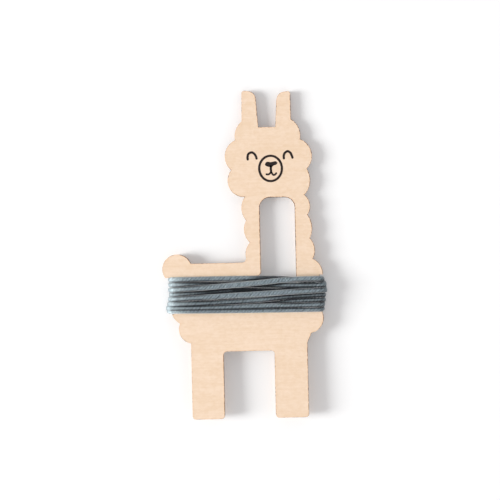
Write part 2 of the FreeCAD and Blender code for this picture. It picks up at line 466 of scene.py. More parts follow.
@dataclass(frozen=True)
class ScorchedRim(Finish):
    """Veneer that a laser browned beside its cut: burnt outside, bare birch inside. Round the openings and on
    edges turned away from the lamp the brown reaches further in, as painted shade.
    """

    veneer: Birch
    toasted: Colour = display(246, 196, 150)
    brown: Colour = display(150, 98, 60)
    burnt: Colour = display(84, 52, 33)
    ragged: Lumps = Lumps((1300, 1300, 1300), 3.0)
    ragged_reach: float = 0.7
    least_scorch: float = 0.02
    toast_reach: Span = (0.0, 0.8)
    toast_share: Span = (0.3, 0.0)
    browned: Span = (0.0, 0.6)
    charred: Span = (0.35, 0.95)
    touch: Touch = Touch((0.8, 0.86), gloss=0.14, depth=0.02 * MM, strength=0.2, over=(0.0, 1.0))

    def surface(self, graph: Graph) -> Socket:
        """Fades from burnt to bare across the strip.

        Args:
            graph: The material's tree.

        Returns:
            The shader.
        """
        strip = graph.node("UVMap", uv_map=CutRim.UV).outputs["UV"]
        inward = graph.node("SeparateXYZ", {"Vector": strip}).outputs["Y"]
        # This mask holds painted shade as well as the laser's browning.
        scorch_and_shade = graph.math("MAXIMUM", graph.attribute(CutRim.SCORCH_AND_SHADE), self.least_scorch)
        ragged = graph.noise(graph.place(), self.ragged)
        reach = graph.weighted((inward, 1.0), (graph.math("SUBTRACT", ragged, 0.5), self.ragged_reach))
        burn = graph.math("SUBTRACT", 1.0, graph.math("DIVIDE", reach, scorch_and_shade))
        toast = graph.remap(reach, *self.toast_reach, *self.toast_share)
        wood = graph.mix(toast, self.veneer.grain(graph)["Colour"], self.toasted)
        wood = graph.mix(graph.remap(burn, *self.browned), wood, self.brown)
        wood = graph.mix(graph.remap(burn, *self.charred), wood, self.burnt)
        return self.touch.shader(graph, wood, ragged, burn)


@dataclass(frozen=True)
class EngravedLine(Finish):
    """The near-black char of an engraved line."""

    dark: Colour = display(27, 20, 19)
    brown: Colour = display(60, 40, 31)
    specks: Lumps = Lumps((4200, 4200, 4200), 3.0)
    speckled: Span = (0.5, 0.75)
    touch: Touch = Touch((0.78, 0.62), gloss=0.25, depth=0.02 * MM, strength=0.35)

    def surface(self, graph: Graph) -> Socket:
        """Char with browner specks.

        Args:
            graph: The material's tree.

        Returns:
            The shader.
        """
        specks = graph.noise(graph.place(), self.specks)
        char = graph.mix(graph.remap(specks, *self.speckled), self.dark, self.brown)
        return self.touch.shader(graph, char, specks)


@dataclass(frozen=True)
class Wool(Finish):
    """Slate-blue wool, matt with a soft sheen."""

    shade: Colour = display(98, 110, 117)
    body: Colour = display(141, 155, 162)
    light: Colour = display(222, 238, 243)
    # The colour of the painted shade between the turns and plies, and how far the masks darken the wool
    # towards it.
    crevice_shade: Colour = display(26, 29, 33)
    sunk_share: float = 0.55
    valley_shade: Span = (0.06, 0.67)
    valley_dark: float = 0.98
    # How the painted highlight is spread: along the fibre streaks, towards the left end, and on faces turned
    # from the lens.
    streaked: Span = (0.38, 0.6)
    streak_light: Span = (0.35, 1.0)
    highlighted: Span = (0.0, 0.8)
    turned_away: Span = (0.4, 1.0)
    painted_rim_highlight: float = 0.15
    sheen: float = 1.0
    sheen_rough: float = 0.32
    touch: Touch = Touch((0.95, 0.8), gloss=0.2, depth=0.09 * MM, strength=0.8)

    def surface(self, graph: Graph) -> Socket:
        """Blended fibres, with painted shade between the turns and plies, and painted highlights at the left
        end and on faces turned from the lens.

        Args:
            graph: The material's tree.

        Returns:
            The shader.
        """
        strand = graph.node("UVMap", uv_map=WoolYarn.UV).outputs["UV"]
        # Painted shade: the wool darkens towards the crevice colour where other turns lie beside or over it.
        beside, sunk, painted_highlight = map(graph.attribute, (WoolYarn.BESIDE, WoolYarn.SUNK, WoolYarn.PAINTED_HIGHLIGHT))
        painted_shade = graph.weighted((beside, 1.0), (sunk, self.sunk_share))
        valley_shade = graph.remap(painted_shade, *self.valley_shade, 0.0, self.valley_dark)
        colours = {"Shade": self.shade, "Body": self.body, "Light": self.light, "CreviceShade": self.crevice_shade}
        fibre = WoolFibre().place(graph, Along=strand, ValleyShade=valley_shade, **colours)
        # Painted highlight: the wool lightens towards its light colour at the left end, where the lamp falls,
        # and on faces turned from the lens.
        streaks = graph.remap(fibre["Height"], *self.streaked, *self.streak_light)
        highlight_fibres = graph.math("MULTIPLY", graph.remap(painted_highlight, *self.highlighted), streaks)
        facing = graph.node("LayerWeight", {"Blend": 0.5}).outputs["Facing"]
        highlight_share = graph.math("ADD", graph.remap(facing, *self.turned_away, 0.0, self.painted_rim_highlight), highlight_fibres)
        highlight_share = graph.math("MULTIPLY", highlight_share, graph.math("SUBTRACT", 1.0, valley_shade))
        wool = graph.mix(highlight_share, fibre["Colour"], self.light)
        sheen = {"Sheen Weight": self.sheen, "Sheen Roughness": self.sheen_rough}
        return self.touch.shader(graph, wool, fibre["Height"], more=sheen)


@dataclass(frozen=True)
class StudioPaper(Finish):
    """A white sheet that looks white to the lens and keeps the object's shadow."""

    paper: Colour = display(243, 243, 243)
    lift: float = 0.18

    def surface(self, graph: Graph) -> Socket:
        """Matt paper, lifted for the lens and for what reflects it.

        Args:
            graph: The material's tree.

        Returns:
            The shader.
        """
        lift = graph.weighted((graph.shown(), self.lift))
        matt = graph.node("BsdfDiffuse", {"Color": self.paper}).outputs["BSDF"]
        glow = graph.node("Emission", {"Color": WHITE, "Strength": lift}).outputs["Emission"]
        return graph.node("AddShader", {0: matt, 1: glow}).outputs["Shader"]


# Meshes


def add_object(name: str, data: bpy.types.ID) -> bpy.types.Object:
    """Adds an object to the scene.

    Args:
        name: The object's name.
        data: Its mesh, lamp or camera.

    Returns:
        The new object.
    """
    made = bpy.data.objects.new(name, data)
    bpy.context.scene.collection.objects.link(made)
    return made


def add_piece(name: str, mesh: bpy.types.Mesh, finish: Finish) -> bpy.types.Object:
    """Adds one piece of the object, which rides on the plate.

    Args:
        name: The piece's name.
        mesh: Its mesh, in the model's frame.
        finish: What it is dressed in.

    Returns:
        The new object.
    """
    piece = add_object(name, mesh)
    finish.dress(piece)
    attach(piece, "root")
    LOG.info("%s: %d faces", name, len(mesh.polygons))
    return piece


def new_mesh(name: str, corners: Sequence, faces: Sequence) -> bpy.types.Mesh:
    """A mesh of corners and faces.

    Args:
        name: The mesh's name.
        corners: The place of each corner.
        faces: The corners of each face, by number.

    Returns:
        The mesh.
    """
    mesh = bpy.data.meshes.new(name)
    mesh.from_pydata(corners, [], faces)
    return mesh


def lay_out(mesh: bpy.types.Mesh, layer: str, places: Sequence) -> None:
    """Gives each corner of a mesh one flat place.

    Args:
        mesh: The mesh.
        layer: The name of the UV layer.
        places: The place of each corner.
    """
    corner = np.zeros(len(mesh.loops), int)
    mesh.loops.foreach_get("vertex_index", corner)
    mesh.uv_layers.new(name=layer).data.foreach_set("uv", np.array(places)[corner].ravel())


def carry(mesh: bpy.types.Mesh, name: str, values: Sequence[float]) -> None:
    """Gives each corner of a mesh a value that its material reads."""
    mesh.attributes.new(name, "FLOAT", "POINT").data.foreach_set("value", values)


def bridge(near: Sequence, far: Sequence, closed: bool = True) -> list[tuple]:
    """The four-sided faces between two rows of corners.

    Args:
        near: The corners of one row.
        far: The corners of the other row.
        closed: Whether the rows' ends meet.

    Returns:
        The corners of each face.
    """
    steps = [(n, (n + 1) % len(near)) for n in range(len(near) if closed else len(near) - 1)]
    return [(near[n], near[m], far[m], far[n]) for n, m in steps]


def unit(rows: np.ndarray) -> np.ndarray:
    """Rows scaled to a length of 1."""
    return rows / np.maximum(np.linalg.norm(rows, axis=1, keepdims=True), 1e-9)


def frames(line: np.ndarray) -> tuple[np.ndarray, np.ndarray, np.ndarray]:
    """The directions along, across and out of the yarn at each sample of its line.

    Args:
        line: The samples, one row each.

    Returns:
        Three arrays of directions.
    """
    along = unit(np.gradient(line, axis=0))
    level = np.array([0.0, 1.0, 0.0])
    across = unit(level - along * (along @ level)[:, None])
    return along, across, np.cross(along, across)


def smooth_line(points: Sequence[Sequence[float]], steps: int = 8, closed: bool = False) -> np.ndarray:
    """A smooth line through points, by Catmull and Rom's spline.

    Args:
        points: The points, in two dimensions.
        steps: Samples from each point to the next.
        closed: Whether the last point leads back to the first.

    Returns:
        The samples, one row each.
    """
    knots = np.array(points, float)
    if closed:
        knots = np.vstack([knots[-1], knots, knots[:2]])
    else:
        knots = np.vstack([2 * knots[0] - knots[1], knots, 2 * knots[-1] - knots[-2]])
    share = np.linspace(0, 1, steps, endpoint=False)[:, None]
    line = []
    for before, start, end, after in zip(knots, knots[1:], knots[2:], knots[3:]):
        slope, bend = end - before, 2 * before - 5 * start + 4 * end - after
        twist = 3 * start - before - 3 * end + after
        line.append(start + 0.5 * share * (slope + share * (bend + share * twist)))
    if not closed:
        line.append(knots[-2:-1])
    return np.vstack(line)


# Studio


@dataclass(frozen=True)
class Camera:
    """A camera that looks straight down on the plate, turned a little."""

    centre: Vector = Vector((2.04 * MM, 1.73 * MM, 4.7 * MM))
    width: float = 193.75 * MM
    lens: float = 90.0
    sensor: float = 36.0
    turn: float = math.radians(-1.3)
    nearest: float = 0.01

    def build(self) -> None:
        """Makes it the scene's camera."""
        data = bpy.data.cameras.new("camera")
        data.lens = self.lens
        data.sensor_width = self.sensor
        data.clip_start = self.nearest
        camera = add_object("camera", data)
        camera.location = self.centre + Vector((0, 0, self.width * self.lens / self.sensor))
        camera.rotation_euler = (0, 0, self.turn)
        bpy.context.scene.camera = camera


@dataclass(frozen=True)
class Lamp:
    """A far lamp with a round face, aimed at the object."""

    title: str
    share: float
    height: float
    turn: float
    spread: Span
    tint: Colour = (0.985, 1.0, 1.0, 1.0)
    distance: float = 2.5

    def build(self) -> None:
        """Adds the lamp, as strong as its share of the light on a level surface."""
        data = bpy.data.lights.new(self.title, "AREA")
        data.shape = "ELLIPSE"
        data.size, data.size_y = (2 * self.distance * math.tan(spread / 2) for spread in self.spread)
        data.energy = self.share * (math.pi * self.distance) ** 2 / math.sin(self.height)
        data.color = self.tint[:3]
        lamp = add_object(self.title, data)
        flat = math.cos(self.height)
        towards = Vector((flat * math.cos(self.turn), flat * math.sin(self.turn), math.sin(self.height)))
        lamp.location = towards * self.distance
        lamp.rotation_euler = towards.to_track_quat("Z", "Y").to_euler()


@dataclass(frozen=True)
class Studio:
    """Even light all round, and one broad lamp low on the left that throws a soft shadow to the right.

    The plate lies on the turns behind its waist and on its ears, so the paper leans to meet both.
    """

    sky_low: float = 0.86
    sky_high: float = 0.35
    ambient_tint: Colour = (1.0, 0.975, 0.98, 1.0)
    lamp: Lamp = Lamp("lamp", 0.49, math.radians(28), math.radians(184), (math.radians(24), math.radians(28)))
    floor_half: float = 1.6
    floor_lean: float = 0.12
    floor_drop: float = 0.02 * MM

    def build(self, rest: Vector, ears: Vector) -> None:
        """Adds the lamp, the sky and the floor.

        Args:
            rest: Where the turns touch the floor, at the edge nearest the head.
            ears: The back of the ears' tips.
        """
        self.lamp.build()
        self.sky()
        self.floor(rest, ears)
        bpy.context.scene.view_settings.view_transform = "Standard"

    def sky(self) -> None:
        """Lights the object from all round, and looks white to the lens."""
        world = bpy.data.worlds.new("sky")
        world.use_nodes = True
        world.node_tree.nodes.clear()
        graph = Graph(world.node_tree)
        shown = graph.shown()
        upward = graph.node("TexCoord").outputs["Generated"]
        height = graph.node("SeparateXYZ", {"Vector": upward}).outputs["Z"]
        lit = graph.node("MapRange", {"Value": height, "To Min": self.sky_low, "To Max": self.sky_high})
        strength = graph.node("MapRange", {"Value": shown, "To Min": lit.outputs["Result"], "To Max": 1.0})
        sky = {"Color": graph.mix(shown, self.ambient_tint, WHITE), "Strength": strength.outputs["Result"]}
        graph.node("OutputWorld", {"Surface": graph.node("Background", sky).outputs["Background"]})
        bpy.context.scene.world = world

    def floor(self, rest: Vector, ears: Vector) -> None:
        """Lays the paper that the object rests on, leaning from the turns up to the ears.

        Args:
            rest: Where the turns touch the floor, at the edge nearest the head.
            ears: The back of the ears' tips.
        """
        slope = (ears.z - rest.z) / (ears.y - rest.y)
        corners = []
        for y in (-self.floor_half, -self.floor_lean, self.floor_lean, self.floor_half):
            leaning = max(-self.floor_lean, min(self.floor_lean, y))
            height = rest.z + (leaning - rest.y) * slope - self.floor_drop
            corners += [(x, y, height) for x in (-self.floor_half, self.floor_half)]
        faces = [(n, n + 1, n + 3, n + 2) for n in range(0, len(corners) - 2, 2)]
        paper = add_object("paper", new_mesh("paper", corners, faces))
        StudioPaper("Studio paper").dress(paper)


# Plate


@dataclass
class CutRim:
    """The browned strip beside the cut, round every opening and outside edge of one face.

    Each scorch is a share of the strip's width, and the waves' lengths are in millimetres. Round the openings
    and on edges turned away from the lamp the strip reaches further in; that extra brown is painted shade.
    """

    UV = "strip"
    SCORCH_AND_SHADE = "scorch_and_shade"

    upward: bool
    width: float = 0.75 * MM
    step: float = 0.4 * MM
    proud: float = 0.012 * MM
    inner_proud: float = 0.6
    sunk: float = 0.05 * MM
    # Painted shade: the extra brown round the openings and on edges turned away from the lamp, beyond the
    # laser's own browning.
    opening_scorch_and_shade: float = 0.16
    outside_scorch: float = 0.03
    painted_shade_scorch: float = 0.32
    most_scorch: float = 0.95
    painted_shade_side: Span = (-0.8, -0.25)
    weld: float = 1e-7
    level: float = 0.9
    upright: float = 0.5
    waves: int = 7
    wave_lengths: Span = (4, 22)
    wave_scorch: float = 0.018
    seed: int = 11

    def loops(self, veneer: bpy.types.Object) -> list[np.ndarray]:
        """The closed lines where the face meets the cut walls.

        Args:
            veneer: The veneer's solid.

        Returns:
            One array of points per loop, with the wood on its left side when seen from above.
        """
        side = 1.0 if self.upward else -1.0
        mesh = bmesh.new()
        mesh.from_mesh(veneer.data)
        bmesh.ops.remove_doubles(mesh, verts=mesh.verts, dist=self.weld)
        following = {}
        for face in mesh.faces:
            if face.normal.z * side < self.level:
                continue
            for loop in face.loops:
                if abs(loop.link_loop_radial_next.face.normal.z) < self.upright:
                    following[loop.vert.index] = (loop.link_loop_next.vert.index, loop.vert.co.copy())
        mesh.free()
        found = []
        while following:
            start = here = next(iter(following))
            line = []
            while here in following:
                here, place = following.pop(here)
                line.append(place)
            if here == start and len(line) > 2:
                found.append(np.array(line)[:: 1 if self.upward else -1])
        return found

    def build(self, veneer: bpy.types.Object) -> bpy.types.Mesh:
        """Lays a thin, closed strip along each loop.

        Args:
            veneer: The veneer's solid.

        Returns:
            The strips' mesh.
        """
        side = 1.0 if self.upward else -1.0
        chance = np.random.default_rng(self.seed)
        section = (
            (-self.proud, -self.sunk, 0.0),
            (-self.proud, self.proud, 0.0),
            (self.width, self.proud * self.inner_proud, 1.0),
            (self.width, -self.sunk, 1.0),
        )
        corners, faces, places, scorches_and_shade = [], [], [], []
        for loop in self.loops(veneer):
            line = self.resample(loop)
            inward = self.inward(line)
            run = np.arange(len(line)) * self.step / self.width
            rings = []
            for reach, height, across in section:
                rings.append(range(len(corners), len(corners) + len(line)))
                corners += (line + inward * reach + np.array([0, 0, side * height])).tolist()
                places += [(place, across) for place in run]
            for ring, after in zip(rings, rings[1:] + rings[:1]):
                quads = bridge(ring, after)
                faces += quads if self.upward else [quad[::-1] for quad in quads]
            scorches_and_shade += np.tile(self.scorch_and_shade(line, inward, chance), len(section)).tolist()
        mesh = new_mesh("scorched_rim", corners, faces)
        lay_out(mesh, self.UV, places)
        carry(mesh, self.SCORCH_AND_SHADE, scorches_and_shade)
        return mesh

    def resample(self, loop: np.ndarray) -> np.ndarray:
        """Divides a closed loop into nearly equal steps that keep its corners.

        Args:
            loop: The loop's points.

        Returns:
            The new points.
        """
        line = []
        for start, end in zip(loop, np.roll(loop, -1, axis=0)):
            parts = max(1, round(float(np.linalg.norm(end - start)) / self.step))
            line.extend(start + (end - start) * n / parts for n in range(parts))
        return np.array(line)

    @staticmethod
    def inward(line: np.ndarray) -> np.ndarray:
        """The level direction into the wood at each point of a loop.

        Args:
            line: The loop's points.

        Returns:
            One direction per point.
        """
        ahead = unit(np.roll(line, -1, axis=0) - line)
        along = ahead + np.roll(ahead, 1, axis=0)
        return unit(np.stack([-along[:, 1], along[:, 0], np.zeros(len(line))], 1))

    def scorch_and_shade(self, line: np.ndarray, inward: np.ndarray, chance: np.random.Generator) -> np.ndarray:
        """How far the browning and the painted shade reach in at each point, as a share of the strip's width.

        Args:
            line: The loop's points.
            inward: The direction into the wood at each.
            chance: Where the patches' places come from.

        Returns:
            One share per point.
        """
        ahead = np.roll(line, -1, axis=0)
        # Painted shade: more brown on edges turned away from the lamp and round the openings.
        opening = np.sum(line[:, 0] * ahead[:, 1] - line[:, 1] * ahead[:, 0]) < 0
        facing = inward[:, 0] * self.painted_shade_side[0] + inward[:, 1] * self.painted_shade_side[1]
        share = self.opening_scorch_and_shade if opening else self.outside_scorch
        share = share + self.painted_shade_scorch * np.clip(facing, 0, 1)
        reach = np.cumsum(np.linalg.norm(ahead - line, axis=1))
        for _ in range(self.waves):
            wave = FULL_TURN * round(reach[-1] / (chance.uniform(*self.wave_lengths) * MM)) / reach[-1]
            share += self.wave_scorch * np.sin(wave * reach + chance.uniform(0, FULL_TURN))
        return np.clip(share, 0.0, self.most_scorch)


@dataclass
class Face:
    """The engraved face, in millimetres: two closed eyes, a ring round the muzzle, a nose and a smile."""

    centre: Span = (10.3, 96.63)
    line: float = 0.89
    mouth_line: float = 0.72
    muzzle: Span = (4.39, 4.9)
    left_eye: Stroke = (
        (-8.76, 3.69), (-8.82, 4.64), (-8.45, 5.81), (-7.23, 6.37), (-6.2, 5.8), (-5.62, 4.92), (-5.34, 3.96),
    )
    right_eye: Stroke = (
        (5.26, 3.81), (5.23, 4.84), (5.65, 5.87), (6.71, 6.51), (7.68, 6.0), (8.23, 5.04), (8.59, 3.99),
    )
    nose: Stroke = (
        (-2.1, 1.63), (-1.81, 2.28), (-1.14, 2.6), (0.08, 2.43), (1.41, 2.68), (2.16, 2.71), (2.67, 2.09),
        (2.23, 1.45), (1.18, 1.09), (0.51, 0.55), (-0.53, 0.57), (-1.46, 0.88), (-2.03, 1.25),
    )
    stem: Stroke = ((0.14, 0.81), (0.1, -0.23), (0.18, -1.36))
    left_smile: Stroke = ((0.18, -1.36), (-0.41, -2.04), (-1.02, -2.32), (-1.63, -2.23))
    right_smile: Stroke = ((0.18, -1.18), (0.63, -2.15), (1.22, -2.59), (1.83, -2.26), (2.14, -1.92))
    proud: float = 0.03 * MM
    sunk: float = 0.05 * MM
    ring_steps: int = 64
    nose_steps: int = 5
    cap_steps: int = 9
    finish: EngravedLine = field(default_factory=lambda: EngravedLine("Engraved line"))

    def build(self, origin: Vector, surface: float) -> None:
        """Sets each line into the front face.

        Args:
            origin: The point below the waist's middle at the feet.
            surface: The height of the front face.
        """
        place = np.array([origin.x, origin.y]) + np.array(self.centre) * MM
        strokes = {
            "left_eye_line": self.stroke(self.left_eye, self.line),
            "right_eye_line": self.stroke(self.right_eye, self.line),
            "muzzle_ring_line": self.ring(),
            "nose_stem_line": self.stroke(self.stem, self.line),
            "left_smile_line": self.stroke(self.left_smile, self.mouth_line),
            "right_smile_line": self.stroke(self.right_smile, self.mouth_line),
            "nose_patch": [smooth_line(self.nose[::-1], self.nose_steps, True)],
        }
        for name, outlines in strokes.items():
            mesh = self.inlay(name, [place + outline * MM for outline in outlines], surface)
            add_piece(name, mesh, self.finish)

    def ring(self) -> list[np.ndarray]:
        """The outer and inner outlines of the ring round the muzzle.

        Returns:
            The two outlines.
        """
        turn = np.linspace(0, FULL_TURN, self.ring_steps, endpoint=False)
        line = np.stack([np.cos(turn) * self.muzzle[0], np.sin(turn) * self.muzzle[1]], 1)
        side = self.left(np.roll(line, -1, axis=0) - np.roll(line, 1, axis=0)) * self.line / 2
        return [line - side, line + side]

    def stroke(self, points: Stroke, width: float) -> list[np.ndarray]:
        """The outline of a line with round ends, anticlockwise.

        Args:
            points: What the line goes through.
            width: The line's width.

        Returns:
            The one outline.
        """
        line = smooth_line(points)
        side = self.left(np.gradient(line, axis=0)) * width / 2
        caps = []
        for centre, start in ((line[-1], -side[-1]), (line[0], side[0])):
            turn = np.linspace(0, math.pi, self.cap_steps)[1:-1, None]
            across = np.array([-start[1], start[0]])
            caps.append(centre + np.cos(turn) * start + np.sin(turn) * across)
        return [np.vstack([line - side, caps[0], (line + side)[::-1], caps[1]])]

    @staticmethod
    def left(along: np.ndarray) -> np.ndarray:
        """The unit vectors on the left of flat directions."""
        along = unit(along)
        return np.stack([-along[:, 1], along[:, 0]], 1)

    def inlay(self, name: str, outlines: list[np.ndarray], surface: float) -> bpy.types.Mesh:
        """A thin closed slab inside one outline, or between two.

        Args:
            name: The mesh's name.
            outlines: The outer outline, and the inner one of a ring.
            surface: The height of the face that it is set into.

        Returns:
            The mesh.
        """
        mesh = bmesh.new()
        levels = (surface - self.sunk, surface + self.proud)
        rims = [[[mesh.verts.new((x, y, z)) for x, y in outline] for z in levels] for outline in outlines]
        faces = bridge(*rims[0])
        if len(rims) == 1:
            faces += [rims[0][1], rims[0][0][::-1]]
        else:
            (outer_low, outer_high), (inner_low, inner_high) = rims
            faces += bridge(outer_high, inner_high)
            faces += [face[::-1] for face in bridge(inner_low, inner_high) + bridge(outer_low, inner_low)]
        for face in faces:
            mesh.faces.new(face)
        data = bpy.data.meshes.new(name)
        mesh.to_mesh(data)
        mesh.free()
        return data


@dataclass
class PlywoodPlate:
    """The plate: two face veneers with the grain across the llama, and a core with the grain up it."""

    face: Birch = field(default_factory=lambda: Birch("Birch face veneer"))
    core: Birch = field(
        default_factory=lambda: Birch(
            "Birch core veneer", angle=0.0, toast=display(142, 94, 58), char=display(58, 36, 24)
        )
    )
    back: Birch = field(
        default_factory=lambda: Birch(
            "Birch back veneer", pale=display(247, 220, 192), deep=display(236, 201, 168)
        )
    )

    def build(self, nodes: dict[str, bpy.types.Object]) -> None:
        """Dresses the veneers and browns their rims, with painted shade round the openings and on edges
        turned away from the lamp.

        Args:
            nodes: The model's solids, by name.
        """
        for piece, finish in ((Piece.FRONT, self.face), (Piece.CORE, self.core), (Piece.BACK, self.back)):
            finish.dress(nodes[piece.value])
            LOG.info("%s dressed in %s", piece.value, finish.title)
        rims = (
            ("front_scorched_rim", Piece.FRONT, True, self.face, Slot.FRONT),
            ("back_scorched_rim", Piece.BACK, False, self.back, Slot.BACK),
        )
        for name, piece, upward, veneer, slot in rims:
            mesh = CutRim(upward).build(nodes[piece.value])
            add_piece(name, mesh, ScorchedRim(f"Scorched rim, {veneer.title}", veneer))


# Yarn


@dataclass(frozen=True)
class Side:
    """How a turn rounds one edge of the waist, in millimetres."""

    height: float
    lift: float
    bow: float


@dataclass(frozen=True)
class Run:
    """How a turn crosses the front: round the right edge, over its knees, round the left.

    Each knee is its place across the waist, its height and its lift, in millimetres.
    """

    right: Side
    left: Side
    knees: tuple[tuple[float, float, float], ...]


@dataclass(frozen=True)
class Crowding:
    """How closely the yarn's other turns press on it, which sets where shade is painted on its wool; every
    reach is in diameters of the yarn.
    """

    diameter: float
    own: float = 5.0
    near: float = 3.0
    beside: float = 2.1
    slip: float = 1.5
    lower: float = 1.2
    over: float = 1.9

    def shares(self, line: np.ndarray, run: np.ndarray, across: np.ndarray) -> np.ndarray:
        """How closely other turns press on each sample.

        Args:
            line: The yarn's samples.
            run: How far along the yarn each lies.
            across: The direction across the yarn at each.

        Returns:
            Three rows of shares, from 0 to 1: above it, below it and over it.
        """
        low, high = line.min(axis=0), line.max(axis=0)
        inset = np.array([1, 0, 1]) * (high[2] - low[2]) / 2
        outward = unit(line - np.clip(line, low + inset, high - inset))
        shares = np.zeros((3, len(line)))
        for n, here in enumerate(line):
            others = (line - here)[np.abs(run - run[n]) > self.own * self.diameter] / self.diameter
            others = others[np.linalg.norm(others, axis=1) < self.near]
            if len(others):
                beside, rise = others @ across[n], others @ outward[n]
                slip = others - np.outer(beside, across[n]) - np.outer(rise, outward[n])
                press = np.clip(self.beside - np.abs(beside), 0, 1)
                press *= np.clip(self.slip - np.linalg.norm(slip, axis=1), 0, 1)
                level = press * np.clip(rise + self.lower, 0, 1)
                over = press * np.clip(rise, 0, 1) * np.clip(self.over - np.abs(beside), 0, 1)
                shares[:, n] = (level * (beside > 0)).max(), (level * (beside < 0)).max(), over.max()
        return shares


@dataclass(frozen=True)
class LooseFibres:
    """Short fibres that stand off the yarn, most of them where it bends. Lengths are in millimetres."""

    count: int = 6400
    bend_share: float = 3.0
    bend_reach: float = 2.5
    rooted: float = 0.8
    lie: Span = (0.4, 1.2)
    slant: float = 0.5
    length: Span = (2.0, 0.3)
    shortest: float = 0.15
    longest: float = 1.5
    lift: Span = (0.15, 0.75)
    curl: Span = (0.05, 0.4)
    radius: Span = (0.014, 0.026)
    taper: float = 0.7
    knots: int = 6
    sides: int = 3
    lowest: float = 0.02
    bare_ends: int = 2
    nudge: float = 0.01
    fibre_offset: float = 0.37
    seed: int = 6
    finish: Wool = Wool("Loose wool", body=display(172, 186, 193))

    def mesh(self, yarn: "WoolYarn", line: np.ndarray) -> bpy.types.Mesh:
        """Sets the fibres on the yarn, none of them lower than the table.

        Args:
            yarn: The yarn that they stand off.
            line: Its samples.

        Returns:
            The mesh of all fibres.
        """
        chance = np.random.default_rng(self.seed)
        along, across, out = frames(line)
        middle = line[self.bare_ends : -self.bare_ends, 0]
        bent = np.abs(middle - line[:, 0].mean()) > yarn.waist_width / 2 - self.bend_reach * MM
        weights = np.where(bent, self.bend_share, 1.0)
        share = np.linspace(0, 1, self.knots)[:, None]
        corners, faces = [], []
        for at in chance.choice(len(bent), self.count, p=weights / weights.sum()) + self.bare_ends:
            turn = chance.uniform(0, FULL_TURN)
            away = across[at] * math.cos(turn) + out[at] * math.sin(turn)
            root = line[at] + across[at] * math.cos(turn) * yarn.wide * self.rooted
            root = root + out[at] * math.sin(turn) * yarn.thick * self.rooted
            lie = along[at] * chance.choice((-1.0, 1.0)) * chance.uniform(*self.lie)
            lie = lie + np.cross(along[at], away) * chance.normal(0, self.slant)
            length = min(chance.gamma(*self.length), self.longest) * MM
            heading = away * chance.uniform(*self.lift) + lie
            heading /= np.linalg.norm(heading)
            curl = np.cross(heading, chance.normal(0, 1, 3))
            path = root + heading * share * length + curl * (share**2) * length * chance.uniform(*self.curl)
            if path[:, 2].min() >= self.lowest * MM and length >= self.shortest * MM:
                radius = chance.uniform(*self.radius) * MM * (1 - self.taper * share)
                faces += self.tube_faces(len(corners))
                corners += self.tube(path, away, radius)
        mesh = new_mesh("wool_fuzz", corners, faces)
        corner = np.arange(len(corners))
        round_fibre = corner // self.knots % self.sides / self.sides
        lay_out(mesh, yarn.UV, np.stack([round_fibre, corner * self.fibre_offset], 1))
        return mesh

    def tube(self, path: np.ndarray, away: np.ndarray, radius: np.ndarray) -> list[list[float]]:
        """The corners of one fibre.

        Args:
            path: The fibre's knots.
            away: The direction off the yarn.
            radius: The fibre's radius at each knot.

        Returns:
            The corners, side by side.
        """
        ahead = unit(np.gradient(path, axis=0))
        side = unit(np.cross(ahead, away + self.nudge))
        other = np.cross(ahead, side)
        turns = [FULL_TURN * n / self.sides for n in range(self.sides)]
        rows = [path + (side * math.cos(turn) + other * math.sin(turn)) * radius for turn in turns]
        return np.vstack(rows).tolist()

    def tube_faces(self, first: int) -> list[tuple[int, ...]]:
        """The faces of one fibre.

        Args:
            first: The number of its first corner.

        Returns:
            The corners of each face.
        """
        rows = [range(first + n * self.knots, first + (n + 1) * self.knots) for n in range(self.sides)]
        faces = []
        for here, there in zip(rows, rows[1:] + rows[:1]):
            faces += [(here[n], there[n], there[n + 1], here[n + 1]) for n in range(self.knots - 1)]
        return faces + [tuple(row[0] for row in reversed(rows)), tuple(row[-1] for row in rows)]


